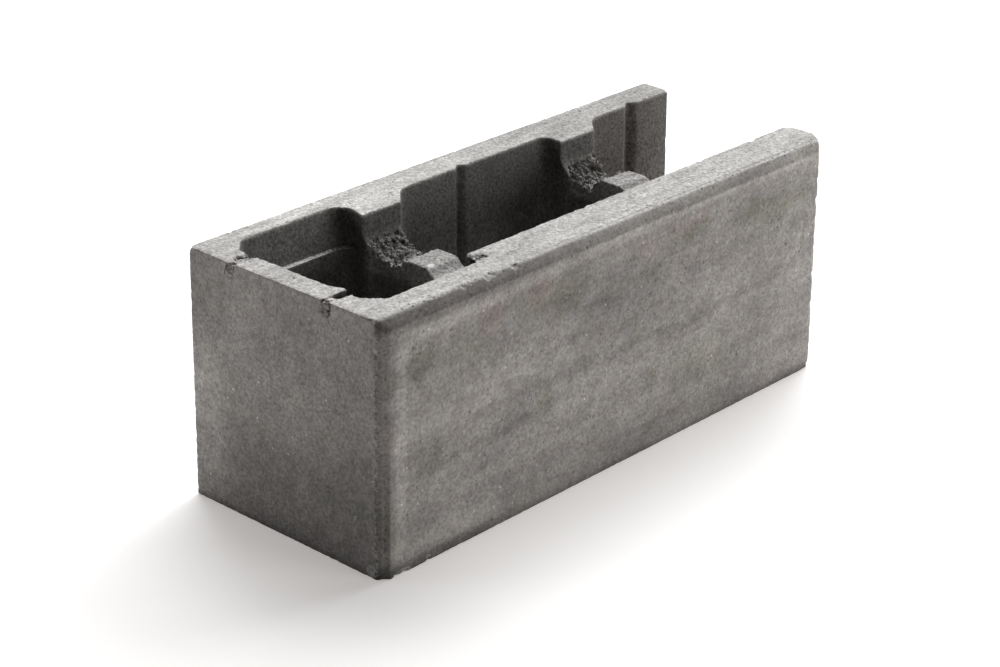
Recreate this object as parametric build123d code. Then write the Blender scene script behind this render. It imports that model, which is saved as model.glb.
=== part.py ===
from build123d import *
import os

# Formwork block of pressed concrete, closed at one end and open at the other.
# Dry-laid in a wall, its cells are filled with concrete and the webs carry the reinforcing bars.
# Millimetres, +Z up, +X along the block away from the closed end, the bevelled face towards -Y.
# The origin is the middle of the base.

# Whole block
block_length = 500
block_width = 190
block_height = 195

# How far each cut runs past the surface that it opens
overrun = 10

# Walls
face_wall = 43
back_wall = 26
end_wall = 30

# Bevel round the showing face, along its top and both upright edges
bevel_on_face = 7.5
bevel_into_block = 6

# Cross webs, counted from the closed end
web_thickness = 40
first_web_from_end = 126
second_web_from_end = 346

# Piers: what the webs leave standing to full height against the back wall
pier_depth = 44.5
pier_undercut = 4
core_round = 9
slope_round = 18

# Saddle in each web's top: a middle hump between two round seats for bars
hump_below_top = 24.5
seat_below_hump = 9.5
seat_radius = 20
seat_from_middle = 27.5
shoulder_rise = 8.5
shoulder_run = 6
hump_round = 5

# Stepped mouth of the first cell, where the walls are thinner down to a ledge
mouth_depth = 30
mouth_into_face_wall = 15
mouth_into_back_wall = 10
mouth_into_end_wall = 10
mouth_corner_cut = 14
mouth_splay = 5
mouth_undercut = 9
mouth_round = 14

# Splitting grooves, full height on the inside of both long walls
middle_groove_width = 11
middle_groove_depth = 4.5
outer_groove_width = 16
outer_groove_depth = 5.5
outer_groove_from_open_end = 48

# Knock-out notches across the top of the end wall
notch_width = 12
notch_depth = 5
first_notch_from_face = 55
second_notch_from_face = 148

# Planes that several features share
closed_end_x = -block_length / 2
open_end_x = block_length / 2
face_y = -block_width / 2
back_y = block_width / 2
face_inner_y = face_y + face_wall
back_inner_y = back_y - back_wall
pier_y = back_y - pier_depth
web_starts = [closed_end_x + first_web_from_end, closed_end_x + second_web_from_end]
web_ends = [start + web_thickness for start in web_starts]


def upright_cut(outline, floor=-overrun):
    """A prism on a plan outline, from its floor up through the top of the block."""
    plan = make_face(Polyline(*outline, close=True))
    return extrude(Pos(0, 0, floor) * plan, block_height + overrun - floor)


def back_edges(cut):
    """The upright edges of a cut along the back wall, from the closed end on."""
    return cut.edges().filter_by(Axis.Z).group_by(Axis.Y)[-1].sort_by(Axis.X)


def web_corner(cut):
    """The upright edge of a cut where the face wall meets the web beyond."""
    return cut.edges().filter_by(Axis.Z).group_by(Axis.Y)[0].sort_by(Axis.X)[-1]


def bevelled_block():
    """The solid blank with the bevel on the showing face."""
    blank = Pos(0, 0, block_height / 2) * Box(block_length, block_width, block_height)
    showing_face = blank.faces().sort_by(Axis.Y)[0]
    bottom_edge = showing_face.edges().sort_by(Axis.Z)[0]
    framed_edges = [edge for edge in showing_face.edges() if edge != bottom_edge]
    return chamfer(framed_edges, bevel_on_face, bevel_into_block, reference=showing_face)


def shaft(start, end, undercut):
    """A cell cut from web to web, with a back corner that slopes from the pier to the back wall."""
    slope = back_inner_y - pier_y
    cut = upright_cut(
        [
            (start, face_inner_y),
            (end, face_inner_y),
            (end, pier_y),
            (end + undercut, back_inner_y),
            (start + slope, back_inner_y),
            (start, pier_y),
        ]
    )
    return fillet(back_edges(cut)[0], slope_round)


def closed_shaft(start, end):
    """A cell cut that ends at a web, with the corners at that web rounded."""
    cut = shaft(start, end, pier_undercut)
    return fillet([web_corner(cut), back_edges(cut)[-1]], core_round)


def first_cell():
    """The cell inside the closed end, with its wider mouth down to the ledge."""
    inner_end_x = closed_end_x + end_wall
    mouth_x = inner_end_x - mouth_into_end_wall
    mouth_face_y = face_inner_y - mouth_into_face_wall
    mouth_back_y = back_inner_y + mouth_into_back_wall
    mouth_outline = [
        (mouth_x, mouth_face_y + mouth_corner_cut),
        (mouth_x + mouth_corner_cut, mouth_face_y),
        (web_starts[0] - mouth_splay, mouth_face_y),
        (web_starts[0], face_inner_y),
        (web_starts[0], pier_y),
        (web_starts[0] + mouth_undercut, mouth_back_y),
        (mouth_x + mouth_corner_cut, mouth_back_y),
        (mouth_x, mouth_back_y - mouth_corner_cut),
    ]
    mouth = upright_cut(mouth_outline, block_height - mouth_depth)
    mouth = fillet(back_edges(mouth)[-1], mouth_round)
    return closed_shaft(inner_end_x, web_starts[0]) + mouth


def saddle(web_start):
    """The cut over one web, from the face wall to the pier, with its hump and two bar seats."""
    hump_z = block_height - hump_below_top
    shoulder_z = hump_z + shoulder_rise
    above = block_height + overrun
    opening = make_face(
        Polyline(
            (face_inner_y, above),
            (face_inner_y, shoulder_z),
            (face_inner_y + shoulder_run, hump_z),
            (pier_y - shoulder_run, hump_z),
            (pier_y, shoulder_z),
            (pier_y, above),
            close=True,
        )
    )
    seat_z = hump_z - seat_below_hump + seat_radius
    for side in (-1, 1):
        opening += Pos(side * seat_from_middle, seat_z) * Circle(seat_radius)
    hump_corners = opening.vertices().filter_by(lambda corner: abs(corner.X) < seat_from_middle)
    opening = fillet(hump_corners, hump_round)
    profile_plane = Plane(origin=(web_start - overrun, 0, 0), x_dir=(0, 1, 0), z_dir=(1, 0, 0))
    return extrude(profile_plane * opening, web_thickness + overrun + overrun)


def splitting_grooves(middle_x, width, depth):
    """A pair of upright V grooves, one in each long wall, at one place along the block."""
    left = middle_x - width / 2
    right = middle_x + width / 2
    pair = None
    for wall_y, outward in ((face_inner_y, -1), (back_inner_y, 1)):
        open_y = wall_y - outward * overrun
        outline = [
            (left, open_y),
            (left, wall_y),
            (middle_x, wall_y + outward * depth),
            (right, wall_y),
            (right, open_y),
        ]
        groove = upright_cut(outline)
        pair = groove if pair is None else pair + groove
    return pair


def knock_out_notch(from_face):
    """A V notch across the top of the end wall."""
    middle_y = face_y + from_face
    outline = Polyline(
        (middle_y, block_height - notch_depth),
        (middle_y + notch_width / 2, block_height),
        (middle_y + notch_width / 2, block_height + overrun),
        (middle_y - notch_width / 2, block_height + overrun),
        (middle_y - notch_width / 2, block_height),
        close=True,
    )
    plane = Plane(origin=(closed_end_x - overrun, 0, 0), x_dir=(0, 1, 0), z_dir=(1, 0, 0))
    return extrude(plane * make_face(outline), end_wall + overrun)


block = bevelled_block()
middle_cell = closed_shaft(web_ends[0], web_starts[1])
open_cell = shaft(web_ends[1], open_end_x + overrun, 0)
for cell in (first_cell(), middle_cell, open_cell):
    block -= cell
for web_start in web_starts:
    block -= saddle(web_start)
block -= splitting_grooves(0, middle_groove_width, middle_groove_depth)
block -= splitting_grooves(
    open_end_x - outer_groove_from_open_end, outer_groove_width, outer_groove_depth
)
for from_face in (first_notch_from_face, second_notch_from_face):
    block -= knock_out_notch(from_face)

os.makedirs("parts", exist_ok=True)
export_step(block, "parts/formwork_block.step")
print("formwork_block", block.bounding_box().size, "volume", block.volume)
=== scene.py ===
# %% [markdown]
# # A concrete formwork block
#
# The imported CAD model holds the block's exact form: two long walls, a closed end, two saddled webs
# and an open end. Here that form gets what pressed concrete really looks like: worn arrises, chips,
# crumbly bar seats, air holes and a mottled grey skin. The CAD model itself is only read.

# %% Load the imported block
import math

import bpy
import numpy as np
from mathutils import Matrix, Vector, kdtree, noise


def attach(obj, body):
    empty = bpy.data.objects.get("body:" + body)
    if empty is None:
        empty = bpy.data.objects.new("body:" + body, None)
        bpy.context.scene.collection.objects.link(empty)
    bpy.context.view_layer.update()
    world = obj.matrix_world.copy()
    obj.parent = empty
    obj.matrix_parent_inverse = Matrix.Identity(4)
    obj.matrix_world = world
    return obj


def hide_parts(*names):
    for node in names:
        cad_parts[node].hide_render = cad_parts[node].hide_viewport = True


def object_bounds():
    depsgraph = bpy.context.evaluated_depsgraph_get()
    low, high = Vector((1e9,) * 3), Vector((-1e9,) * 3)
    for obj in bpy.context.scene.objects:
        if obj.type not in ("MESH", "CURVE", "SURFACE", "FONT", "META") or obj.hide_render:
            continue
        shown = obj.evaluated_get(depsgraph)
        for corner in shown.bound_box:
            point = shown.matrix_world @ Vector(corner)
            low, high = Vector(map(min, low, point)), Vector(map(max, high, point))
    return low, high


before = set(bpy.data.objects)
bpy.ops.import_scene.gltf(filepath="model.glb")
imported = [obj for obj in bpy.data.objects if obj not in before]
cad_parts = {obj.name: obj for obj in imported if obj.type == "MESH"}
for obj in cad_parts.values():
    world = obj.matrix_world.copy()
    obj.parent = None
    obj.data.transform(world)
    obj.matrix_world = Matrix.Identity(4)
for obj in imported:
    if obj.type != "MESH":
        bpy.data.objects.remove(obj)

cad_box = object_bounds()
lowest, highest = (np.array(corner) for corner in cad_box)
print("CAD box, mm:", np.round((highest - lowest) * 1000, 1), "nodes:", sorted(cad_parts))

# %% [markdown]
# ## The camera
#
# The photograph looks down on the corner between the closed end and the showing face with a longish
# lens. A camera is turned from three angles, as on a tripod: the pan about the upright axis, the tilt
# down, and a small roll about its own line of sight.

# %% Set the camera on its tripod
camera_place = Vector((-1.3340, -1.1747, 0.8809))
camera_pan = math.radians(-48.010)
camera_tilt = math.radians(24.337)
camera_roll = math.radians(1.012)
camera_lens = 92.20
camera_sensor = 36.0

bpy.ops.object.camera_add()
camera = bpy.context.object
camera.name = "photo_camera"
camera.data.lens = camera_lens
camera.data.sensor_width = camera_sensor
camera.matrix_world = (
    Matrix.Translation(camera_place)
    @ Matrix.Rotation(camera_pan, 4, "Z")
    @ Matrix.Rotation(math.pi / 2 - camera_tilt, 4, "X")
    @ Matrix.Rotation(camera_roll, 4, "Z")
)
bpy.context.scene.camera = camera
bpy.context.scene.view_settings.view_transform = "Standard"
print("camera", round(camera_place.length, 2), "m from the block's base")

# %% [markdown]
# ## Writing finishes as sums
#
# A shader is a sum written with nodes. The small class below wraps a node's output, so that the sum
# can be typed: `1 - mask * 0.5` adds the two Math nodes that work it out. Colours have methods of
# their own, because a Math node would turn them grey.

# %% A class that turns Python sums into shader nodes
class Reading:
    """One output of a shader node, that can be added, multiplied and compared."""

    def __init__(self, finish, socket):
        self.finish, self.socket = finish, socket

    def other(self, out):
        """Another output of the same node."""
        return Reading(self.finish, self.socket.node.outputs[out])

    def _sum(self, operation, *terms):
        return self.finish.node("ShaderNodeMath", {"operation": operation}, dict(enumerate(terms)))

    def __add__(self, other):
        return self._sum("ADD", self, other)

    def __radd__(self, other):
        return self._sum("ADD", other, self)

    def __sub__(self, other):
        return self._sum("SUBTRACT", self, other)

    def __rsub__(self, other):
        return self._sum("SUBTRACT", other, self)

    def __mul__(self, other):
        return self._sum("MULTIPLY", self, other)

    def __rmul__(self, other):
        return self._sum("MULTIPLY", other, self)

    def __neg__(self):
        return self._sum("MULTIPLY", self, -1.0)

    def __abs__(self):
        return self._sum("ABSOLUTE", self)

    def least(self, other, blur=0.0):
        """The smaller of two readings, with the corner between them rounded."""
        return self._sum("SMOOTH_MIN", self, other, blur)

    def most(self, other):
        """The larger of two readings."""
        return self._sum("MAXIMUM", self, other)

    def ramp(self, start, end, low=0.0, high=1.0):
        """Rises smoothly from low to high as the reading goes from start to end."""
        values = {"Value": self, "From Min": start, "From Max": end, "To Min": low, "To Max": high}
        return self.finish.node("ShaderNodeMapRange", {"interpolation_type": "SMOOTHSTEP"}, values)


class Finish:
    """A material, or the sky, under construction."""

    def __init__(self, tree):
        self.tree = tree
        tree.nodes.clear()

    def node(self, kind, settings=None, values=None, out=0):
        """Adds a node, makes its settings, then fills its sockets with values or links."""
        made = self.tree.nodes.new(kind)
        for name, setting in (settings or {}).items():
            setattr(made, name, setting)
        for name, value in (values or {}).items():
            if isinstance(value, Reading):
                self.tree.links.new(value.socket, made.inputs[name])
            else:
                made.inputs[name].default_value = value
        return Reading(self, made.outputs[out]) if made.outputs else None

    def mix(self, share, first, second):
        """Mixes two colours."""
        settings = {"data_type": "RGBA", "clamp_factor": True}
        return self.node("ShaderNodeMix", settings, {0: share, 6: first, 7: second}, 2)

    def scale(self, colour, share):
        """Makes a colour lighter or darker by a share that changes from place to place."""
        settings = {"operation": "SCALE"}
        return self.node("ShaderNodeVectorMath", settings, {"Vector": colour, "Scale": share})


def new_finish(name):
    """An empty material with its own node tree."""
    material = bpy.data.materials.new(name)
    material.use_nodes = True
    return material, Finish(material.node_tree)


print("shader sums ready")

# %% [markdown]
# ## Floor, lamps and sky
#
# The block stands on a white sweep. A broad soft lamp hangs beyond its open end, a low one fills the
# showing face and a small one behind the closed end catches that end's far edge; the rest of the light
# on the upright faces comes back up from the floor. To the camera the floor also glows a little, so
# that it reads as paper white while the block's soft shadow stays on it.

# %% Lay the floor
floor_reach = 30.0
floor_bounce = 0.90
floor_paint = 0.90
floor_glow = 0.33
floor_warmth = (1.0, 0.955, 0.925, 1.0)

bpy.ops.mesh.primitive_plane_add(size=floor_reach)
floor = bpy.context.object
floor.name = "floor"
floor_white, sheet = new_finish("floor_white")
camera_ray, gloss_ray, glass_ray = (
    sheet.node("ShaderNodeLightPath", out=ray) for ray in (0, 3, 6)
)
in_view = camera_ray.most(gloss_ray).most(glass_ray)
bounce = sheet.node("ShaderNodeBsdfDiffuse", values={"Color": (floor_bounce,) * 3 + (1,)})
paint = sheet.node("ShaderNodeBsdfDiffuse", values={"Color": (floor_paint,) * 3 + (1,)})
glow = sheet.node("ShaderNodeEmission", values={"Color": floor_warmth, "Strength": floor_glow})
shown = sheet.node("ShaderNodeAddShader", values={0: paint, 1: glow})
both = sheet.node("ShaderNodeMixShader", values={0: in_view, 1: bounce, 2: shown})
sheet.node("ShaderNodeOutputMaterial", values={"Surface": both})
floor.data.materials.append(floor_white)
print("floor", floor_reach, "m across")

# %% Hang the lamps
def hang_lamp(name, place, size, watts):
    """A square soft lamp at a place, turned to face the block, that the camera doesn't see."""
    bpy.ops.object.light_add(type="AREA", location=place)
    lamp = bpy.context.object
    lamp.name = name
    lamp.data.size = size
    lamp.data.energy = watts
    lamp.rotation_euler = (block_middle - Vector(place)).to_track_quat("-Z", "Y").to_euler()
    lamp.visible_camera = False


block_middle = Vector((0.0, 0.0, 0.1))
hang_lamp("main_lamp", (2.2, 2.0, 4.4), 3.6, 240.0)
hang_lamp("side_lamp", (1.7, 0.0, 1.5), 1.5, 28.7)
hang_lamp("far_lamp", (0.3, 2.4, 2.6), 1.5, 9.1)
hang_lamp("face_lamp", (0.3, -1.5, 0.4), 0.7, 6.9)
hang_lamp("end_lamp", (-0.9, 0.7, 0.28), 0.5, 2.2)

sky_light = 0.02
sky_white = 0.97
sky = bpy.data.worlds.new("studio_sky")
bpy.context.scene.world = sky
sky.use_nodes = True
air = Finish(sky.node_tree)
sky_seen = air.node("ShaderNodeLightPath", out=0)
fill = air.node("ShaderNodeBackground", values={"Color": (1, 1, 1, 1), "Strength": sky_light})
white = air.node("ShaderNodeBackground", values={"Color": (1, 1, 1, 1), "Strength": sky_white})
studio = air.node("ShaderNodeMixShader", values={0: sky_seen, 1: fill, 2: white})
air.node("ShaderNodeOutputWorld", values={"Surface": studio})

# %% [markdown]
# ## The casting
#
# The real block is one pressing of earth-dry concrete, so it stays one piece. It could be sculpted
# by hand from a cube, but then it would drift from the CAD sizes. Instead a copy of the CAD mesh is
# welded and given an even skin of small quads, which any tool can then dent.

# %% Copy the CAD form and give it an even skin
skin_size = 0.00125
weld_distance = 0.00001


def pick(piece):
    """Leaves this piece as the only one selected, and active."""
    bpy.ops.object.select_all(action="DESELECT")
    piece.select_set(True)
    bpy.context.view_layer.objects.active = piece


def finish_with(piece, kind, **settings):
    """Adds a modifier to a piece, sets it and applies it."""
    modifier = piece.modifiers.new(kind.lower(), kind)
    for name, value in settings.items():
        setattr(modifier, name, value)
    pick(piece)
    bpy.ops.object.modifier_apply(modifier=modifier.name)


casting = bpy.data.objects.new("block_casting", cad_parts["formwork_block"].data.copy())
bpy.context.collection.objects.link(casting)
pick(casting)
bpy.ops.object.mode_set(mode="EDIT")
bpy.ops.mesh.select_all(action="SELECT")
bpy.ops.mesh.remove_doubles(threshold=weld_distance)
bpy.ops.object.mode_set(mode="OBJECT")
finish_with(casting, "REMESH", mode="VOXEL", voxel_size=skin_size, adaptivity=0.0)
print("skin:", len(casting.data.vertices), "points")

# %% [markdown]
# ## Torn saddles, uneven notches and worn corners
#
# Earth-dry concrete tears where the press pulls out of it. On the real block the front of each saddle
# is torn back, its hump is a soft mound rather than a crisp step, and the two knock-out notches are
# half filled with crumbs. The back wall leans a little, so that the mould could be drawn, and the open
# end and two corners are worn. Sculpting would do it by feel. These are small slides of the skin, so
# they are written as such: each point moves by an amount that fades out away from the place.

# %% Read and write the skin as rows of numbers
def places(piece):
    """Where every point of the skin is, as rows of x, y and z in metres."""
    rows = np.empty(len(piece.data.vertices) * 3, np.float32)
    piece.data.vertices.foreach_get("co", rows)
    return rows.reshape(-1, 3).astype(float)


def directions(piece):
    """Which way every point of the skin faces."""
    rows = np.empty(len(piece.data.vertices) * 3, np.float32)
    piece.data.vertex_normals.foreach_get("vector", rows)
    return rows.reshape(-1, 3).astype(float)


def put(piece, rows):
    """Moves every point to its row, kept inside the CAD box."""
    rows = np.clip(rows, lowest, highest)
    piece.data.vertices.foreach_set("co", rows.astype(np.float32).ravel())
    piece.data.update()


def rise(values, start, end):
    """Goes smoothly from 0 at start to 1 at end."""
    share = np.clip((values - start) / (end - start), 0, 1)
    return share * share * (3 - 2 * share)


def between(values, low, high, fade):
    """1 between two limits, with a fade outside them."""
    return rise(values, low - fade, low) * (1 - rise(values, high, high + fade))


print("box corners, mm:", np.round(lowest * 1000, 1), np.round(highest * 1000, 1))

# %% Tear the saddles back and soften their humps
web_starts = (-0.124, 0.096)
web_thickness = 0.040
torn_back = 0.006
torn_reach = 0.014
hump_shifts = (0.0025, 0.0048)
hump_lifts = (-0.0010, 0.0010)
second_web_back = 0.0020
second_shoulder_lift = 0.0022

skin = places(casting)
x, y, z = skin.T
for start, hump_shift, hump_lift in zip(web_starts, hump_shifts, hump_lifts):
    torn = between(x, start - 0.002, start + torn_reach, 0.0001) * between(y, -0.050, 0.036, 0.010)
    torn = torn * (1 - rise(z, 0.177, 0.192)) * rise(z, 0.090, 0.150)
    skin[:, 0] += torn * torn_back * (1 - np.clip((x - start) / torn_reach, 0, 1))
    hump = between(x, start, start + web_thickness, 0.002) * between(y, -0.014, 0.014, 0.012)
    hump = hump * rise(z, 0.145, 0.160) * (z < 0.185)
    skin[:, 1] += hump * hump_shift
    skin[:, 2] += hump * hump_lift
shoulder = between(x, 0.096, 0.136, 0.003) * between(y, -0.046, -0.014, 0.010)
shoulder = shoulder * rise(z, 0.140, 0.158) * (z < 0.185)
skin[:, 2] += shoulder * second_shoulder_lift
skin[:, 0] -= second_web_back * between(x, 0.090, 0.160, 0.025)
print("torn points:", int((torn > 0.5).sum()), "hump points:", int((hump > 0.5).sum()))

# %% Make the notches uneven
near_notch, far_notch = -0.040, 0.053
notch_reach = 0.0075
notch_lean = 0.0020
notch_lip = 0.0045
notch_fill = 0.55
outer_fill = 0.75
notch_depth = 0.005
end_face = lowest[0]
end_wall_inner = -0.228
top = highest[2]

x, y, z = skin.T
on_end_wall = (x < end_wall_inner) & (z > top - notch_depth - 0.001)
in_near = on_end_wall & (np.abs(y - near_notch) < notch_reach)
in_far = on_end_wall & (np.abs(y - far_notch) < notch_reach)
down = np.clip((top - z) / notch_depth, 0, 1)
far_lip = near_notch + 0.006
far_side = between(y, near_notch, far_lip, 0.0001)
far_side = far_side + (y > far_lip) * (1 - rise(y, far_lip, near_notch + 0.016))
far_side = far_side * on_end_wall
skin[:, 1] += far_side * notch_lean * (3 * down - 2)
lip = between(y, near_notch - 0.001, near_notch + 0.009, 0.007)
lip = lip * rise(x, -0.2400, -0.2305) * (x < end_wall_inner)
skin[:, 0] += notch_lip * lip * rise(z, 0.178, 0.188)
skin[in_far, 2] += notch_fill * (top - z[in_far])
filled = outer_fill * (1 - rise(x, -0.2410, -0.2370))
skin[in_near, 2] += filled[in_near] * (top - z[in_near])
print("notch points:", int(in_near.sum()), "and", int(in_far.sum()))

# %% Narrow the ledge along the back wall
ledge_z, ledge_y = 0.165, 0.069
mouth_back_y = 0.079
ledge_left = 0.46

x, y, z = skin.T
in_mouth = (x < -0.105) & (x > -0.245) & (z > ledge_z - 0.0015)
in_mouth = in_mouth & (y > ledge_y) & (y < mouth_back_y + 0.001)
lean = ledge_left + (1 - ledge_left) * np.clip((z - ledge_z) / (top - ledge_z), 0, 1)
skin[in_mouth, 1] = ledge_y + (y[in_mouth] - ledge_y) * lean[in_mouth]
print("mouth points:", int(in_mouth.sum()))

# %% Wear the bevel at the open end and fill the tops of the grooves
bevel_out = np.array([0.625, -0.781, 0.0])
bevel_edge = np.array([0.2425, -0.095, 0.0])
bevel_wear = 0.0013
bevel_wear_upwards = 0.0020
bevel_wear_at_top = 0.0009
face_inner_y = -0.052
groove_depth = 0.0055
groove_fill = 0.65

beyond = (skin - bevel_edge) @ bevel_out + bevel_wear
beyond += bevel_wear_upwards * rise(z, 0.00, 0.15) + bevel_wear_at_top * rise(z, 0.160, 0.195)
worn_end = (beyond > 0) & (y < -0.06) & (x > 0.2)
skin[worn_end] -= beyond[worn_end, None] * bevel_out
by_groove = np.maximum(between(x, -0.005, 0.005, 0.004), between(x, 0.195, 0.209, 0.004))
into_groove = np.clip(face_inner_y - y, 0, groove_depth) * (1 - rise(-y, 0.0575, 0.0660))
skin[:, 1] += groove_fill * by_groove * into_groove * rise(z, 0.120, 0.170)
print("open end points:", int(worn_end.sum()), "groove points:", int((by_groove > 0.5).sum()))

# %% Lean the back wall and wear two corners of the closed end
wall_draft = 0.020
draft_depth = 0.100
worn_corners = (
    # corner, which way it looks, how much is worn off it
    ((-0.250, 0.095, 0.195), (-0.577, 0.577, 0.577), 0.0022),
    ((-0.250, -0.089, 0.195), (-0.60, -0.35, 0.72), 0.0018),
)

drawn_in = np.clip(top - z, 0, draft_depth) * between(y, 0.046, 0.081, 0.006)
skin[:, 1] -= wall_draft * (drawn_in * rise(x, -0.235, -0.222))
for corner, out, lost in worn_corners:
    past = np.clip((skin - np.array(corner)) @ np.array(out) + lost, 0, None)
    skin -= past[:, None] * np.array(out)
put(casting, skin)
print("most drawn in, mm:", round(wall_draft * drawn_in.max() * 1000, 1))

# %% [markdown]
# ## Worn arrises
#
# An arris is the line where two faces meet, and on a block that has been stacked and carried it is
# never sharp. A bevel would wear every arris alike. Here a smoothed copy shows which points stand
# proud, and those points slide inwards by an uneven amount: a little all along, and in bites where
# grains have fallen out. Some stretches are named as more ragged than others.

# %% Find the arrises
def softened(piece, rounds):
    """Where the points would be if the piece were smoothed, and how far each stands proud of that."""
    copy = piece.copy()
    copy.data = piece.data.copy()
    bpy.context.collection.objects.link(copy)
    finish_with(copy, "SMOOTH", factor=0.5, iterations=rounds)
    soft = places(copy)
    bpy.data.objects.remove(copy)
    proud = np.einsum("ij,ij->i", places(piece) - soft, directions(piece))
    return soft, proud


def mottle(rows, grain, seed, octaves=2):
    """Smooth random values, about -1 to 1, that change over the length of a grain."""
    shift = Vector((13.7, 5.3, 9.1)) * seed
    scaled = (rows / grain).tolist()
    return np.array([noise.fractal(Vector(row) + shift, 1.0, 2.0, octaves) for row in scaled])


fine_rounds = 5
broad_rounds = 22
fine_soft, fine_proud = softened(casting, fine_rounds)
broad_soft, broad_proud = softened(casting, broad_rounds)
print("arris points:", int((fine_proud > 0.0001).sum()))

# %% Say which arrises are ragged
def from_outside(rows):
    """How far each point lies in from the closed end, the face or the back, whichever is nearest."""
    return np.minimum.reduce([rows[:, 0] - lowest[0], rows[:, 1] - lowest[1], highest[1] - rows[:, 1]])


def raggedness(rows):
    """How ragged an arris is at each point: about 1 on the inner top arrises, less on outer ones."""
    x, y, z = rows.T
    at_top = rise(z, 0.150, 0.180)
    ragged = np.where(from_outside(rows) < 0.012, 0.35, 0.45 + 0.55 * at_top)
    ragged += 0.3 * between(x, -0.190, -0.118, 0.010) * between(y, 0.072, 0.085, 0.004) * at_top
    ragged += 0.5 * between(x, 0.153, 0.172, 0.004) * between(y, 0.065, 0.073, 0.003) * at_top
    ragged += 0.7 * between(y, -0.095, -0.080, 0.003) * at_top * (x < 0.24)
    ragged += 0.35 * rise(x, 0.232, 0.238) * (y < -0.080) * (z < 0.185)
    ragged -= 0.6 * rise(x, 0.215, 0.235) * at_top
    ragged += 0.3 * (1 - rise(x, -0.244, -0.238)) * rise(y, 0.083, 0.088)
    return np.clip(ragged, 0.1, 3.0)


print("raggedness from", *np.round(np.percentile(raggedness(places(casting)), (0, 100)), 2))

# %% Wear the arrises
bite_depth = 0.0011
outer_rounding = 0.85
inner_rounding = 0.40
sharp = places(casting)
near = np.flatnonzero(broad_proud > 0.0002)
inward = broad_soft[near] - sharp[near]
inward /= np.linalg.norm(inward, axis=1)[:, None]
ragged = raggedness(sharp[near])
bites = np.clip(mottle(sharp[near], 0.0042, 1, 3) * 1.6 + 0.15, 0, 1.3)
bites = bites * (0.7 + 0.6 * mottle(sharp[near], 0.025, 2))
bites = np.clip(bites, 0, 1.5) * ragged * rise(broad_proud[near], 0.0002, 0.0010)
inner = rise(from_outside(sharp), 0.010, 0.014)
kept = rise(sharp[:, 1], 0.086, 0.090) * rise(sharp[:, 2], 0.186, 0.190)
kept = np.maximum(kept, rise(sharp[:, 0], 0.240, 0.244) * rise(sharp[:, 1], 0.050, 0.060))
rounding = outer_rounding - (outer_rounding - inner_rounding) * np.maximum(inner, kept)
worn = sharp + (fine_soft - sharp) * rounding[:, None]
worn[near] += inward * bite_depth * bites[:, None]
print("deepest bite, mm:", round((bites * bite_depth).max() * 1000, 2))

# %% Round the humps off
mound = np.zeros(len(worn))
for start in web_starts:
    here = between(sharp[:, 0], start + 0.002, start + web_thickness - 0.001, 0.004)
    mound = np.maximum(mound, here * between(sharp[:, 1], -0.030, 0.010, 0.006))
mound = mound * between(sharp[:, 2], 0.150, 0.176, 0.004)
broad_weight = 0.9
worn += (broad_soft - worn) * (broad_weight * mound)[:, None]
put(casting, worn)
print("mound points:", int((mound > 0.5).sum()))

# %% [markdown]
# ## Crumbly bar seats and notches
#
# When the block leaves the press, the dry mix tears a little at the bar seats and at the knock-out
# notches, and leaves clinging crumbs. A particle system could scatter crumbs, but they would be loose
# pieces. Voronoi cells raise them from the skin instead: round lumps with creases between. The places
# are painted as weights first, so that a Displace modifier works only there.

# %% Paint where the mix is crumbly
def crumbly(rows, facing):
    """How crumbly each point is: 1 in the bar seats and notches, 0 on clean faces."""
    x, y, z = rows.T
    near_top = rise(facing[:, 2], -0.25, 0.25) * rise(z, 0.1545, 0.158)
    webs = sum(between(x, start + 0.003, start + web_thickness, 0.002) for start in web_starts)
    far_seat = rise(y, 0.009, 0.018) * (1 - rise(y, 0.0515, 0.0535))
    near_seat = 0.45 * rise(-y, 0.026, 0.032) * (1 - rise(-y, 0.051, 0.054))
    seats = webs * between(z, 0.150, 0.1725, 0.004) * (far_seat + near_seat) * near_top
    notches = (1 - rise(np.abs(y - far_notch), 0.003, 0.006)) * rise(z, 0.189, 0.192) * 0.55
    outer_half = 1 - rise(x, end_face + 0.005, end_face + 0.009)
    hole = (1 - rise(np.abs(y + 0.0415), 0.0035, 0.0065)) * rise(z, 0.182, 0.187) * 0.55 * outer_half
    notches = (notches + hole) * (x < end_wall_inner)
    flank = between(x, -0.133, -0.122, 0.003) * between(y, -0.067, -0.054, 0.002)
    flank = flank * rise(z, 0.174, 0.180) * (1 - rise(z, 0.190, 0.193)) * rise(-facing[:, 0], 0.2, 0.6)
    hollow = between(x, -0.129, -0.117, 0.003) * between(y, -0.0655, -0.0575, 0.0020)
    hollow = hollow * rise(z, 0.187, 0.191)
    return np.clip(seats + notches + 0.3 * flank + 0.5 * hollow, 0, 1)


weights = crumbly(places(casting), directions(casting))
print("crumbly points:", int((weights > 0.1).sum()))

# %% Give the crumbly places a finer skin and break them up
shades = 40


def select_points(piece, chosen):
    """Selects the faces whose points are all chosen, and opens edit mode."""
    pick(piece)
    bpy.ops.object.mode_set(mode="EDIT")
    bpy.ops.mesh.select_mode(type="VERT")
    bpy.ops.mesh.select_all(action="DESELECT")
    bpy.ops.object.mode_set(mode="OBJECT")
    piece.data.vertices.foreach_set("select", chosen)
    bpy.ops.object.mode_set(mode="EDIT")
    bpy.ops.mesh.select_mode(type="FACE")


def paint_weights(piece, name, weights):
    """Stores weights in a vertex group, in steps of one shade."""
    group = piece.vertex_groups.new(name=name)
    levels = np.round(np.clip(weights, 0, 1) * shades).astype(int)
    for level in range(1, shades + 1):
        group.add(np.flatnonzero(levels == level).tolist(), level / shades, "REPLACE")
    return name


def crumbs(name, kind, grain, **settings):
    """A texture for a Displace modifier, with grains of one size."""
    texture = bpy.data.textures.new(name, kind)
    texture.noise_scale = grain
    for setting, value in settings.items():
        setattr(texture, setting, value)
    return texture


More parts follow.
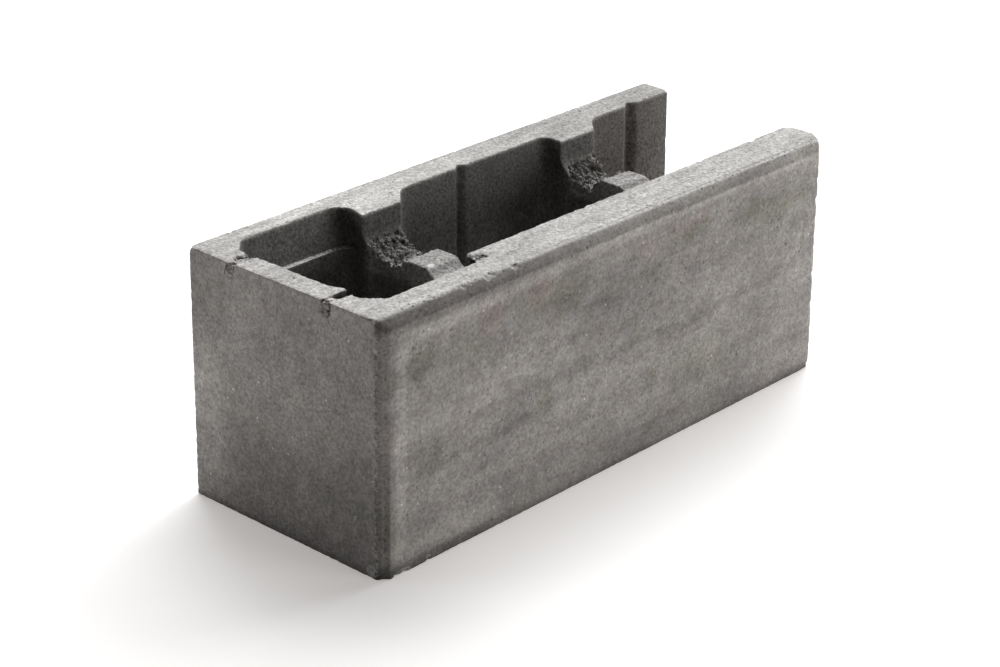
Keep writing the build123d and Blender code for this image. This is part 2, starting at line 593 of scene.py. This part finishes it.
select_points(casting, weights > 0.1)
bpy.ops.mesh.subdivide(number_cuts=1)
bpy.ops.object.mode_set(mode="OBJECT")
weights = crumbly(places(casting), directions(casting))
crumbly_group = paint_weights(casting, "crumbly", weights)
round_lumps = {"distance_metric": "DISTANCE_SQUARED", "noise_intensity": 1.6}
crumb_layers = (
    # texture, depth, level that stays where it is
    (crumbs("tears", "CLOUDS", 0.008, noise_depth=2), 0.0060, 0.42),
    (crumbs("large_crumbs", "VORONOI", 0.0052, **round_lumps), 0.0026, 0.35),
    (crumbs("middling_crumbs", "VORONOI", 0.0032, **round_lumps), 0.0026, 0.35),
    (crumbs("small_crumbs", "VORONOI", 0.0020, **round_lumps), 0.0014, 0.35),
)
for texture, depth, level in crumb_layers:
    finish_with(
        casting,
        "DISPLACE",
        texture=texture,
        texture_coords="LOCAL",
        strength=-depth,
        mid_level=level,
        vertex_group=crumbly_group,
    )
print("skin with crumbs:", len(casting.data.vertices), "points")

# %% [markdown]
# ## Chips and air holes
#
# A chip is a shallow scoop. It could be cut with a Boolean, but hundreds of Booleans are slow and
# fragile. Instead the skin near a place is pressed straight in until it lies on a bowl, as a thumb
# does in clay, and the bowl is rough, so that no two chips look alike. The same thumb, much smaller,
# makes the air holes. The open end of the face wall has been knocked most: its upright edge is wavy and
# its two top corners are gone.

# %% A thumb that dents the skin
random = np.random.default_rng(31)


def dent(place, outward, width, depth, roughness=0.2):
    """Presses a rough bowl of this width and depth straight into the skin."""
    outward = np.array(outward)
    found = [index for _, index, _ in finder.find_range(place, width)]
    found = np.array([index for index in found if facing[index] @ outward > -0.2], int)
    if not len(found):
        return
    away = skin[found] - np.array(place)
    height = away @ outward
    across = np.linalg.norm(away - height[:, None] * outward, axis=1) / (width / 2)
    lumps = 1 + roughness * 2 * mottle(skin[found], width / 3, 7)
    bowl = depth * (across * across - lumps)
    push = np.where(height < depth * 3, np.clip(height - bowl, 0, None), 0)
    skin[found] -= push[:, None] * outward


def search_tree(rows):
    """A tree that finds the points near a place."""
    tree = kdtree.KDTree(len(rows))
    for index, row in enumerate(rows.tolist()):
        tree.insert(row, index)
    tree.balance()
    return tree


skin = places(casting)
facing = directions(casting)
finder = search_tree(skin)
print("search tree over", len(skin), "points")

# %% Small chips all along the arrises
chip_count = 1800
already_moved = 0.0003
_, proud = softened(casting, fine_rounds)
from_notch = np.minimum(np.abs(skin[:, 1] - near_notch), np.abs(skin[:, 1] - far_notch))
spared = (skin[:, 0] < end_wall_inner) & (skin[:, 2] > 0.165)
spared = spared & ((from_notch < 0.015) | (skin[:, 1] < -0.080))
arris = np.flatnonzero((proud > 0.0003) & (weights < 0.01) & ~spared)
likely = raggedness(skin[arris])
before = skin.copy()
for index in random.choice(arris, chip_count, p=likely / likely.sum()):
    if np.linalg.norm(skin[index] - before[index]) > already_moved:
        continue
    depth = 0.0003 + min(random.exponential(0.0004), 0.0010)
    width = depth * random.uniform(2.5, 5)
    dent(skin[index], facing[index], width, depth, 0.35)
print("small chips:", chip_count)

# %% The larger chips, one by one
to_top = (0.0, 0.0, 1.0)
to_ridge = (0.0, -0.62, 0.78)
to_foot = (0.0, -0.80, -0.60)
to_open_end = (1.0, 0.0, 0.0)
to_closed_end = (-0.95, 0.0, 0.31)
to_far_corner = (0.55, -0.45, 0.70)
to_closed_end_top = (-0.71, 0.0, 0.70)
to_inner_ridge = (0.0, 0.62, 0.78)
larger_chips = (
    # where, which way it opens, width, depth
    ((-0.166, -0.0885, 0.1945), to_ridge, 0.005, 0.0011),
    ((-0.142, -0.0880, 0.1945), to_ridge, 0.006, 0.0012),
    ((-0.137, -0.0870, 0.1945), to_ridge, 0.005, 0.0010),
    ((-0.115, -0.0880, 0.1945), to_ridge, 0.006, 0.0012),
    ((-0.236, -0.0950, 0.0010), to_foot, 0.008, 0.0011),
    ((-0.229, -0.0950, 0.0010), to_foot, 0.006, 0.0010),
    ((-0.205, -0.0950, 0.0015), to_foot, 0.004, 0.0010),
    ((0.250, 0.0690, 0.1500), to_open_end, 0.010, 0.0022),
    ((0.250, 0.0690, 0.1950), to_far_corner, 0.012, 0.0022),
    ((-0.250, -0.0440, 0.1890), to_closed_end, 0.006, 0.0026),
    ((-0.250, -0.0790, 0.1950), to_closed_end_top, 0.006, 0.0012),
    ((-0.250, -0.0850, 0.1940), to_closed_end_top, 0.005, 0.0013),
    ((0.159, 0.0876, 0.1950), to_top, 0.004, 0.0013),
    ((0.132, 0.0670, 0.1950), to_top, 0.004, 0.0011),
    ((0.204, -0.0530, 0.1945), to_inner_ridge, 0.006, 0.0018),
    ((0.139, -0.0525, 0.1945), to_inner_ridge, 0.005, 0.0016),
)
for place, outward, width, depth in larger_chips:
    dent(place, outward, width, depth, 0.3)
print("larger chips:", len(larger_chips))

# %% Wear the open end of the face wall
ripple_depth = 0.0017
ripple_length = 0.009
corner_reach = 0.020
open_corners = (
    # corner, which way it looks, how much is worn off it
    ((0.2433, -0.0890, 0.1950), (0.45, -0.45, 0.77), 0.0022),
    ((0.2500, -0.0520, 0.1950), (0.60, 0.52, 0.61), 0.0036),
)
at_end = np.flatnonzero((skin[:, 0] > 0.22) & (skin[:, 1] < -0.075))
to_bevel = (skin[at_end] - bevel_edge) @ bevel_out
ripple = np.clip(mottle(skin[at_end] * (0.2, 0.2, 1.0), ripple_length, 4), 0, 1)
ripple = ripple * rise(to_bevel, -0.0085, -0.0045)
skin[at_end] -= (ripple_depth * ripple)[:, None] * bevel_out
for corner, out, lost in open_corners:
    past = np.clip((skin - np.array(corner)) @ np.array(out) + lost, 0, None)
    past[np.linalg.norm(skin - np.array(corner), axis=1) > corner_reach] = 0
    skin -= past[:, None] * np.array(out)
print("rippled points:", int((ripple > 0.1).sum()))

# %% Air holes
hole_count = 520
on_tops = (facing[:, 2] > 0.95) & (skin[:, 2] > 0.19)
on_showing_face = (facing[:, 1] < -0.95) & (skin[:, 1] < -0.09)
looks_out = np.flatnonzero(on_tops | on_showing_face)
for index in random.choice(looks_out, hole_count):
    depth = 0.0003 + min(random.exponential(0.0003), 0.0012)
    dent(skin[index], facing[index], depth * random.uniform(2.2, 4.0), depth, 0.3)
put(casting, skin)
print("air holes:", hole_count)

# %% [markdown]
# ## Sandy tops
#
# The tops were struck off by the press plate and left open, so they are sandy: every grain stands out
# a fraction of a millimetre. A Displace modifier does that on the tops alone, with a cloud texture.

# %% Roughen the tops
sandy_depth = 0.00055
facing = directions(casting)
sandy = rise(facing[:, 2], 0.6, 0.9) * rise(places(casting)[:, 2], 0.155, 0.165) * (1 - weights)
sandy_group = paint_weights(casting, "sandy", sandy)
sand_grains = crumbs("sand_grains", "CLOUDS", 0.0030, noise_depth=1)
finish_with(
    casting,
    "DISPLACE",
    texture=sand_grains,
    texture_coords="LOCAL",
    strength=sandy_depth,
    mid_level=0.75,
    vertex_group=sandy_group,
)
print("sandy points:", int((sandy > 0.5).sum()))

# %% [markdown]
# ## Thin the mesh
#
# The skin is finer than it needs to be on flat faces. A coarser skin from the start would lose the
# crumbs, so a Decimate modifier thins it now, which hardly touches the dented places. Weighted normals
# then keep the broad faces flat in the light.

# %% Thin the mesh and shade it
triangle_limit = 192000
smooth_angle = 50

finish_with(casting, "TRIANGULATE")
finish_with(casting, "DECIMATE", ratio=min(1.0, triangle_limit / len(casting.data.polygons)))
put(casting, places(casting))
casting.vertex_groups.clear()
pick(casting)
bpy.ops.object.shade_smooth_by_angle(angle=math.radians(smooth_angle))
finish_with(casting, "WEIGHTED_NORMAL", keep_sharp=True)
print("triangles:", len(casting.data.polygons))

# %% [markdown]
# ## Concrete
#
# Pressed concrete is grey cement round grains of sand and gravel. Its colour wanders slowly from patch
# to patch, speckles from grain to grain, and is darker where the skin is open and rough. It could be
# painted on a UV map. Noise on Object coordinates needs no map and stays put from every side.

# %% Read where we are on the block
concrete, grey = new_finish("concrete")
place = grey.node("ShaderNodeTexCoord", out=3)
x = grey.node("ShaderNodeSeparateXYZ", values={"Vector": place})
y, z = x.other(1), x.other(2)
normal = grey.node("ShaderNodeNewGeometry", out=1)
facing_x = grey.node("ShaderNodeSeparateXYZ", values={"Vector": normal})
facing_y, facing_z = facing_x.other(1), facing_x.other(2)
low_x, low_y = float(lowest[0]), float(lowest[1])
high_x, high_y, high_z = (float(value) for value in highest)
print("the block's top is at", round(high_z, 3), "m")

# %% Two patterns: clouds and grains
def spot_for(seed, stretch=(1, 1, 1)):
    """The place on the block, shifted so that no two patterns match, and drawn out along some axes."""
    values = {"Vector": place, "Location": (seed, seed * 0.7, -seed), "Scale": stretch}
    return grey.node("ShaderNodeMapping", {"vector_type": "POINT"}, values)


def clouds(grain, seed, detail=2.0, roughness=0.5, stretch=(1, 1, 1), out=0):
    """Soft noise with patches of about one size, 0 to 1."""
    values = {"Vector": spot_for(seed, stretch), "Scale": 1 / grain}
    values.update({"Detail": detail, "Roughness": roughness})
    return grey.node("ShaderNodeTexNoise", {"noise_dimensions": "3D"}, values, out)


def grains(size, share, seed, spread):
    """Spots of about one size, in a share of the cells that could hold one."""
    gap = grey.node("ShaderNodeTexVoronoi", values={"Vector": spot_for(seed), "Scale": 1 / size})
    luck = grey.node("ShaderNodeSeparateColor", values={"Color": gap.other(1)})
    return (1 - gap.ramp(spread * 0.5, spread)) * luck.ramp(1 - share, 1 - share + 0.01)


print("patterns ready")

# %% Tell tops, inner walls and the showing face apart
upward = facing_z.ramp(0.55, 0.85)
from_sides = (x - low_x).least(y - low_y).least(high_y - y)
open_end = x.ramp(0.244, 0.248) * facing_x.ramp(0.4, 0.8)
from_closed_end = x - low_x
below_top = high_z - z
inside = from_sides.ramp(0.010, 0.015) * (1 - open_end) * below_top.ramp(0.0005, 0.0030)
from_web = abs(x + 0.104).least(abs(x - 0.116))
on_web = 1 - from_web.ramp(0.018, 0.022)
saddles = on_web * z.ramp(0.148, 0.156) * (1 - z.ramp(0.176, 0.184))
saddles = saddles * (1 - y.ramp(0.045, 0.050) * (1 - upward))
ledge = upward * inside * (1 - on_web) * z.ramp(0.156, 0.161) * (1 - z.ramp(0.168, 0.174))
# Inner faces turned away from the main lamp, darkened below as painted shade
away = inside * (-facing_x).ramp(0.3, 0.7)
on_end = 1 - from_closed_end.ramp(0.002, 0.004)
on_face = (-y).ramp(0.0870, 0.0885)
from_groove = abs(x).least(abs(x - 0.202))
# The grooves and the first pier's face, darkened below as painted shade
in_groove = inside * (1 - from_groove.ramp(0.0050, 0.0080)) * y.ramp(0.0690, 0.0715)
first_pier = on_web * inside * (1 - upward) * y.ramp(0.044, 0.049) * (1 - x.ramp(-0.02, 0.02))
print("places ready")

# %% [markdown]
# ## The showing face
#
# The mould leaves a smooth, paler band just inside the bevel, like the margin of a page, and damp has
# left faint olive and reddish stains. Both could be painted by hand. Here the band is worked out from
# the distance to the nearest edge, and each stain is a soft ellipse whose outline strays with noise.

# %% Draw the band inside the bevel
edge_depth = from_closed_end.least(below_top).least(high_x - x)
frame_depth = from_closed_end.least(high_x - x).least(below_top, 0.018)
wobble = clouds(0.014, 3.1, 3.0)
band_near = x.ramp(-0.23, 0.05, 0.0130, 0.0078)
band_far = x.ramp(-0.23, 0.05, 0.0225, 0.0135) + (wobble - 0.5) * 0.006
pale_band = on_face * (frame_depth - band_near).ramp(-0.0025, 0.0025)
pale_band = pale_band * (1 - (frame_depth - band_far).ramp(-0.002, 0.003))
pale_band = pale_band * x.ramp(-0.10, 0.24, 1.0, 0.6) * z.ramp(0.012, 0.040)
print("band ready")

# %% Find the bevel and the lines along it
bevel = on_face * (1 - edge_depth.ramp(0.0062, 0.0088)) * (1 - upward)
top_bevel = 1 - below_top.ramp(0.0075, 0.0100)
end_ridge = (1 - abs(y + 0.0885).ramp(0.0004, 0.0016)) * (1 - from_closed_end.ramp(0.0015, 0.0030))
bevel_line = on_face * (1 - abs(below_top - 0.0088).ramp(0.0006, 0.0024))
bevel_line = bevel_line * x.ramp(-0.25, 0.10, 0.0, 1.0)
under_bevel = on_face * (1 - below_top.ramp(0.0090, 0.0165)) * (1 - x.ramp(-0.16, -0.06))
beside_bevel = on_face * (1 - from_closed_end.ramp(0.0070, 0.0170))
bevel_crease = on_face * (1 - abs(below_top - 0.0060).ramp(0.0006, 0.0024))
arris_line = upward.most(on_face) * (1 - below_top.ramp(0.0020, 0.0035))
pale_arris = arris_line * (1 - abs(y + 0.0886).ramp(0.0003, 0.0013))
dark_arris = arris_line * (1 - abs(y + 0.0862).ramp(0.0005, 0.0016)) * x.ramp(-0.20, 0.05, 0.3, 1.0)
print("bevel lines ready")

# %% Put the stains where the showing face has them
stain_drift = 0.022
olive_stains = (
    # middle along the block, middle up it, reach along, reach up
    (-0.210, 0.156, 0.018, 0.018),
    (-0.072, 0.162, 0.048, 0.020),
    (0.080, 0.166, 0.034, 0.012),
    (0.175, 0.158, 0.060, 0.014),
)
faint_olive_stains = (
    (-0.166, 0.152, 0.034, 0.015),
    (-0.086, 0.084, 0.012, 0.016),
    (-0.042, 0.099, 0.014, 0.008),
    (-0.042, 0.058, 0.012, 0.014),
    (-0.205, 0.080, 0.022, 0.020),
    (0.037, 0.060, 0.014, 0.012),
    (0.012, 0.099, 0.012, 0.008),
    (0.095, 0.054, 0.050, 0.024),
    (0.035, 0.147, 0.024, 0.012),
)
rust_stains = (
    (-0.139, 0.166, 0.018, 0.018),
    (-0.090, 0.170, 0.018, 0.014),
    (0.072, 0.176, 0.040, 0.009),
    (0.026, 0.167, 0.014, 0.010),
)
pale_stains = (
    (-0.130, 0.118, 0.034, 0.026),
    (-0.037, 0.065, 0.026, 0.012),
    (0.112, 0.060, 0.042, 0.013),
)
dark_stains = (
    (-0.122, 0.022, 0.016, 0.015),
    (0.000, 0.130, 0.060, 0.036),
    (0.005, 0.095, 0.240, 0.007),
    (-0.145, 0.074, 0.085, 0.006),
    (0.222, 0.125, 0.004, 0.030),
)

wander = clouds(0.022, 9.3, 2.0, 0.6, out=1)
wander = grey.node("ShaderNodeVectorMath", {"operation": "SUBTRACT"}, {0: wander, 1: (0.5, 0.5, 0.5)})
strayed = {0: wander, 1: (stain_drift,) * 3, 2: place}
strayed = grey.node("ShaderNodeVectorMath", {"operation": "MULTIPLY_ADD"}, strayed)


def how_far(from_place, middle, reach):
    """How far a place is from a middle, where 1 is its reach along each axis."""
    values = {"Vector": from_place, "Location": middle, "Scale": reach}
    offset = grey.node("ShaderNodeMapping", {"vector_type": "TEXTURE"}, values)
    return grey.node("ShaderNodeVectorMath", {"operation": "LENGTH"}, {0: offset}, 1)


def stained(stains):
    """1 in the middle of soft-edged stains on the showing face, 0 away from them."""
    total = None
    for along, up, reach_along, reach_up in stains:
        spot = how_far(strayed, (along, 0, up), (reach_along, 10, reach_up)).ramp(0.35, 1.15, 1.0, 0.0)
        total = spot if total is None else total.most(spot)
    return total * on_face


all_stains = (olive_stains, faint_olive_stains, rust_stains, pale_stains, dark_stains)
olive_patches, faint_patches, rust_patches, pale_patches, dark_patches = map(stained, all_stains)
print("stains:", sum(map(len, all_stains)))

# %% [markdown]
# ## Cracks and crumbs
#
# Below the notches hairline cracks run down the closed end, and dry crumbs cling round the notches and
# in one corner of the mouth. A crack is thinner than the mesh is fine, so it is drawn in the colour and
# the bump: a crack is the strip close to a leaning line, broken up by noise.

# %% Crack the end wall below its notches
def crack(top_y, top_z, lean, low_z):
    """A hairline on the closed end, from a place near its top down to a height."""
    line = top_y + (z - top_z) * lean
    aside = abs(y - line + (wobble - 0.5) * 0.004)
    span = z.ramp(low_z, low_z + 0.004) * (1 - z.ramp(top_z, top_z + 0.002))
    return (1 - aside.ramp(0.0002, 0.0010)) * span * on_end * wobble.ramp(0.35, 0.50)


cracks = crack(-0.044, 0.190, 0.1, 0.178)
cracks = cracks.most(crack(0.049, 0.192, -0.17, 0.178)).most(crack(0.057, 0.191, -0.27, 0.182))
notch_side = (-facing_y).ramp(0.25, 0.6) * z.ramp(0.1885, 0.190)
notch_side = notch_side * (1 - abs(y + 0.038).ramp(0.006, 0.009))
notch_side = notch_side * from_closed_end.ramp(0.0090, 0.0120) * (1 - from_closed_end.ramp(0.0270, 0.0290))
from_notches = abs(y + 0.0415).least(abs(y - 0.0530) + 0.0025)
notch_crumbs = (1 - from_notches.ramp(0.003, 0.008)) * z.ramp(0.1800, 0.1875) * on_end
hollow = (1 - abs(x + 0.1235).ramp(0.007, 0.010)) * (1 - abs(y + 0.0615).ramp(0.0035, 0.0060))
hollow = hollow * z.ramp(0.183, 0.187)
print("cracks ready")

# %% [markdown]
# ## Light and dark
#
# The block's shading is one number, its tone, by which the cement's colour is multiplied. A material for
# each wall would leave seams between them. A product of masks has none: each factor below lightens or
# darkens the tone for one reason, such as sand, a pit, the pale band, or light and shade painted in, as on
# the tops, the inner walls, the foot and the closed end.

# %% Lay out the patterns
patches = clouds(0.060, 1.0, 3.0, 0.55)
streaks = clouds(0.011, 2.0, 2.0, 0.5, (0.13, 1, 1))
blotches = clouds(0.013, 2.6, 2.0, 0.6)
sand = clouds(0.0022, 4.0, 2.0, 0.65)
pale_grains = grains(0.0052, 0.14, 5.0, 0.26)
dark_grains = grains(0.0044, 0.14, 6.0, 0.26)
white_specks = grains(0.0100, 0.18, 11.0, 0.11)
open_pits = grains(0.0048, 0.22, 12.0, 0.34)
top_streaks = clouds(0.006, 13.0, 2.0, 0.5, (0.12, 1, 1))
top_pits = grains(0.0090, 0.12, 14.0, 0.16)
small_pits = grains(0.0032, 0.45, 15.0, 0.36)
face_pits = small_pits * on_face * blotches.ramp(0.54, 0.62)
arris_pits = small_pits * clouds(0.030, 16.0).ramp(0.46, 0.54)
arris_pits = arris_pits * (1 - abs(y + 0.0865).ramp(0.002, 0.006))
print("nodes so far:", len(concrete.node_tree.nodes))

# %% Shade from patch to patch and from grain to grain
def lighter(mask, share):
    """A factor that lightens the tone by a share where the mask is 1."""
    return 1 + mask * share


def darker(mask, share):
    """A factor that darkens the tone by a share where the mask is 1."""
    return 1 - mask * share


tone = lighter(patches - 0.5, 0.60) + (streaks - 0.5) * on_face * 0.50
tone = tone + (blotches - 0.5) * (0.60 - upward * 0.35)
tone = tone * lighter(sand - 0.5, 1.65 - on_face * 0.25 + upward * 0.35 + inside * 0.90)
tone = tone * lighter((top_streaks - 0.5) * upward, 0.75)
tone = tone * lighter(pale_grains, 0.40) * darker(dark_grains, 0.42 - on_end * 0.30 - inside * 0.30)
tone = tone * lighter(white_specks, 1 - upward) * darker(face_pits, 0.40)
tone = tone * darker(open_pits, (bevel * 0.35).most(upward * 0.16))
tone = tone * darker(top_pits * upward, 0.60) * darker(arris_pits * arris_line, 0.75)
print("grains shaded")

# %% Shade the bevel and the showing face
# The top bevel is darker, rougher concrete; the upright bevel is darkened below about 115 mm, most near
# the foot: painted shade, like that low on the closed end
bevel_dark = z.ramp(0.06, 0.115, 0.36, 0.00).most(z.ramp(0.15, 0.185, 0.0, 0.04)) * (1 - top_bevel)
bevel_dark = bevel_dark * from_closed_end.ramp(0.0020, 0.0050, 0.1, 1.0)
bevel_dark = bevel_dark.most(top_bevel * x.ramp(-0.25, 0.12, 0.34, 0.06))
face_dark = on_face * (1 - x.ramp(0.165, 0.215))
# pale_arris lightens the top's outer ridge: skin worn a little paler, with a painted highlight where the
# ridge catches the light
tone = tone * darker(bevel, bevel_dark) * lighter(pale_arris, 0.20) * darker(dark_arris, 0.28)
# bevel_crease darkens a thin line 6 mm below the top: the painted shadow of a fine crease
tone = tone * darker(under_bevel, 0.22) * darker(beside_bevel, 0.20) * darker(bevel_crease, 0.13)
tone = tone * darker(face_dark, z.ramp(0.112, 0.150, 0.06, 0.18)) * lighter(bevel_line, 0.16)
# The ridge at the closed end's near corner is lightened likewise: worn paler skin with a painted highlight
tone = tone * lighter(end_ridge * sand.ramp(0.42, 0.60), 0.55)
tone = tone * lighter(pale_band, x.ramp(-0.234, -0.222, 0.18, 0.30))
tone = tone * lighter(pale_patches, 0.13) * darker(dark_patches, 0.16)
tone = tone * darker(olive_patches, 0.16) * darker(faint_patches, 0.08)
print("showing face shaded")

# %% Shade the tops and the insides, with painted light and shade
# Painted shade: the inner walls are darkened by up to about half, less on the saddles and deep in the
# cells; faces turned away from the main lamp, the first pier and the grooves are darkened as well
deep = 1 - z.ramp(0.05, 0.16)
# The tops are lightened, partly as drier, paler skin and partly as painted light from above, more towards
# the closed end. back_top is painted light and shade on the back wall's top: lighter towards the closed
# end, darker towards the open end
back_top = upward * y.ramp(0.055, 0.065)
inside_shade = 0.49 - upward * 0.05 - saddles * (0.42 - upward * 0.26)
inside_shade = inside_shade - deep * x.ramp(-0.10, -0.06, 0.42, 0.22)
tone = tone * lighter(upward, x.ramp(-0.22, 0.22, 0.52, 0.36)) * darker(inside, inside_shade)
tone = tone * darker(back_top, x.ramp(-0.15, 0.15, -0.08, 0.14))
# The ledge is lightened, most along the back wall: painted light, as if falling on it from above
tone = tone * lighter(ledge, y.ramp(0.055, 0.066, 0.30, 1.90)) * darker(in_groove, 0.18)
# Painted shade in the gaps between the crumbs of the hollow
tone = tone * darker(hollow * (1 - sand.ramp(0.50, 0.66)), 0.75)
tone = tone * darker(away * (1 - saddles), 0.22) * darker(first_pier, 0.22)
print("insides shaded")

# %% Shade the foot and the closed end, partly with painted shade and light
foot_line = on_face * (1 - z.ramp(0.004, 0.010))
foot_band = on_face * z.ramp(0.007, 0.012) * (1 - z.ramp(0.018, 0.030)) * (1 - x.ramp(-0.17, -0.11))
far_part = on_end * y.ramp(0.045, 0.090)
# Every face is darkened in its lowest few millimetres: painted shade where the block stands on the floor
tone = tone * z.ramp(0.0, 0.006, 0.70, 1.0) * z.ramp(0.0, 0.022, 0.90, 1.0)
tone = tone * darker(foot_line, x.ramp(-0.16, -0.08, 0.36, 0.0) + x.ramp(0.14, 0.23, 0.0, 0.26))
tone = tone * lighter(foot_band, 0.22)
tone = tone * darker(cracks, 0.55) * darker(notch_side, 0.75)
# Painted shade in the gaps between the crumbs round the notches
tone = tone * darker(notch_crumbs * (1 - sand.ramp(0.44, 0.56)), 0.45)
# Painted shade and light on the closed end: darker low down and towards the near corner, where the floor
# beside it lies in shadow; its far edge lighter halfway up, where it faces lit floor, and darker near the
# top
tone = tone * darker(on_end * y.ramp(0.030, 0.090, 1.0, 0.40), z.ramp(0.04, 0.12, 0.36, 0.0))
tone = tone * darker(on_end * z.ramp(0.02, 0.06), y.ramp(-0.070, 0.060, 0.16, 0.0))
tone = tone * lighter(far_part, z.ramp(0.0, 0.075, 0.0, 0.38) - z.ramp(0.085, 0.165, 0.0, 0.58))
print("closed end shaded")

# %% [markdown]
# ## Colour
#
# Cement dries to a warm grey, and looks cooler on the tops and in the shade of the cells. One speck of
# lime sits on the first saddle, and fresh breaks along the foot are paler than the old skin. The few
# colours are mixed by the masks, then multiplied by the tone. The finish is dull, as dry concrete is.

# %% Mix the colours
cement = (0.354, 0.332, 0.314, 1)
olive = (0.326, 0.313, 0.264, 1)
rust = (0.376, 0.328, 0.298, 1)
shade_grey = (0.338, 0.334, 0.328, 1)
lime_white = (0.780, 0.770, 0.740, 1)
lime_place, lime_reach = (-0.1115, -0.0065, 0.1675), (0.0040, 0.0025, 0.0050)
fresh_grey = (0.420, 0.405, 0.385, 1)
fresh_breaks = (
    # middle and reach of each pale break along the foot
    ((-0.2500, -0.0845, 0.0055), (0.0040, 0.0060, 0.0050)),
    ((-0.2290, -0.0950, 0.0020), (0.0080, 0.0050, 0.0022)),
    ((-0.2048, -0.0950, 0.0030), (0.0028, 0.0050, 0.0022)),
)

olive_share = (clouds(0.045, 7.0, 3.0).ramp(0.52, 0.68) * 0.35).most(olive_patches * 0.85)
olive_share = olive_share.most(faint_patches * 0.65)
rust_share = (clouds(0.030, 8.0, 2.0).ramp(0.60, 0.70) * 0.25).most(rust_patches * 0.90)
cool_share = (inside * x.ramp(0.09, 0.15, 1.0, 0.0)).most(upward) * 0.75
hue = grey.mix(olive_share, cement, olive)
hue = grey.mix(rust_share, hue, rust)
hue = grey.mix(cool_share, hue, shade_grey)
colour = grey.scale(hue, tone)
for middle, reach in fresh_breaks:
    fresh = how_far(place, middle, reach).ramp(0.7, 1.0, 1.0, 0.0) * sand.ramp(0.35, 0.50)
    colour = grey.mix(fresh * 0.8, colour, fresh_grey)
colour = grey.mix(how_far(place, lime_place, lime_reach).ramp(0.7, 1.0, 1.0, 0.0), colour, lime_white)
print("colours: cement, olive, rust, shade, fresh breaks and lime")

# %% Finish the shader
relief_depth = 0.0006
relief_strength = 0.7

relief = sand * 0.7 + blotches * 0.3 - dark_grains * 0.6 - open_pits * bevel * 0.6
relief = relief + pale_grains * 0.3 - cracks * 0.8
relief = {"Strength": relief_strength, "Distance": relief_depth, "Height": relief}
bump = grey.node("ShaderNodeBump", values=relief)
shader = grey.node(
    "ShaderNodeBsdfPrincipled",
    values={"Base Color": colour, "Roughness": 0.92, "Specular IOR Level": 0.25, "Normal": bump},
)
grey.node("ShaderNodeOutputMaterial", values={"Surface": shader})
casting.data.materials.clear()
casting.data.materials.append(concrete)
print("concrete mixed from", len(concrete.node_tree.nodes), "nodes")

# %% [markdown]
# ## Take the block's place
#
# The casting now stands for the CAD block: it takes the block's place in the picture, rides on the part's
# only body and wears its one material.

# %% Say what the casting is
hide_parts("formwork_block")
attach(casting, "root")
print(casting.name, "replaces the CAD block")
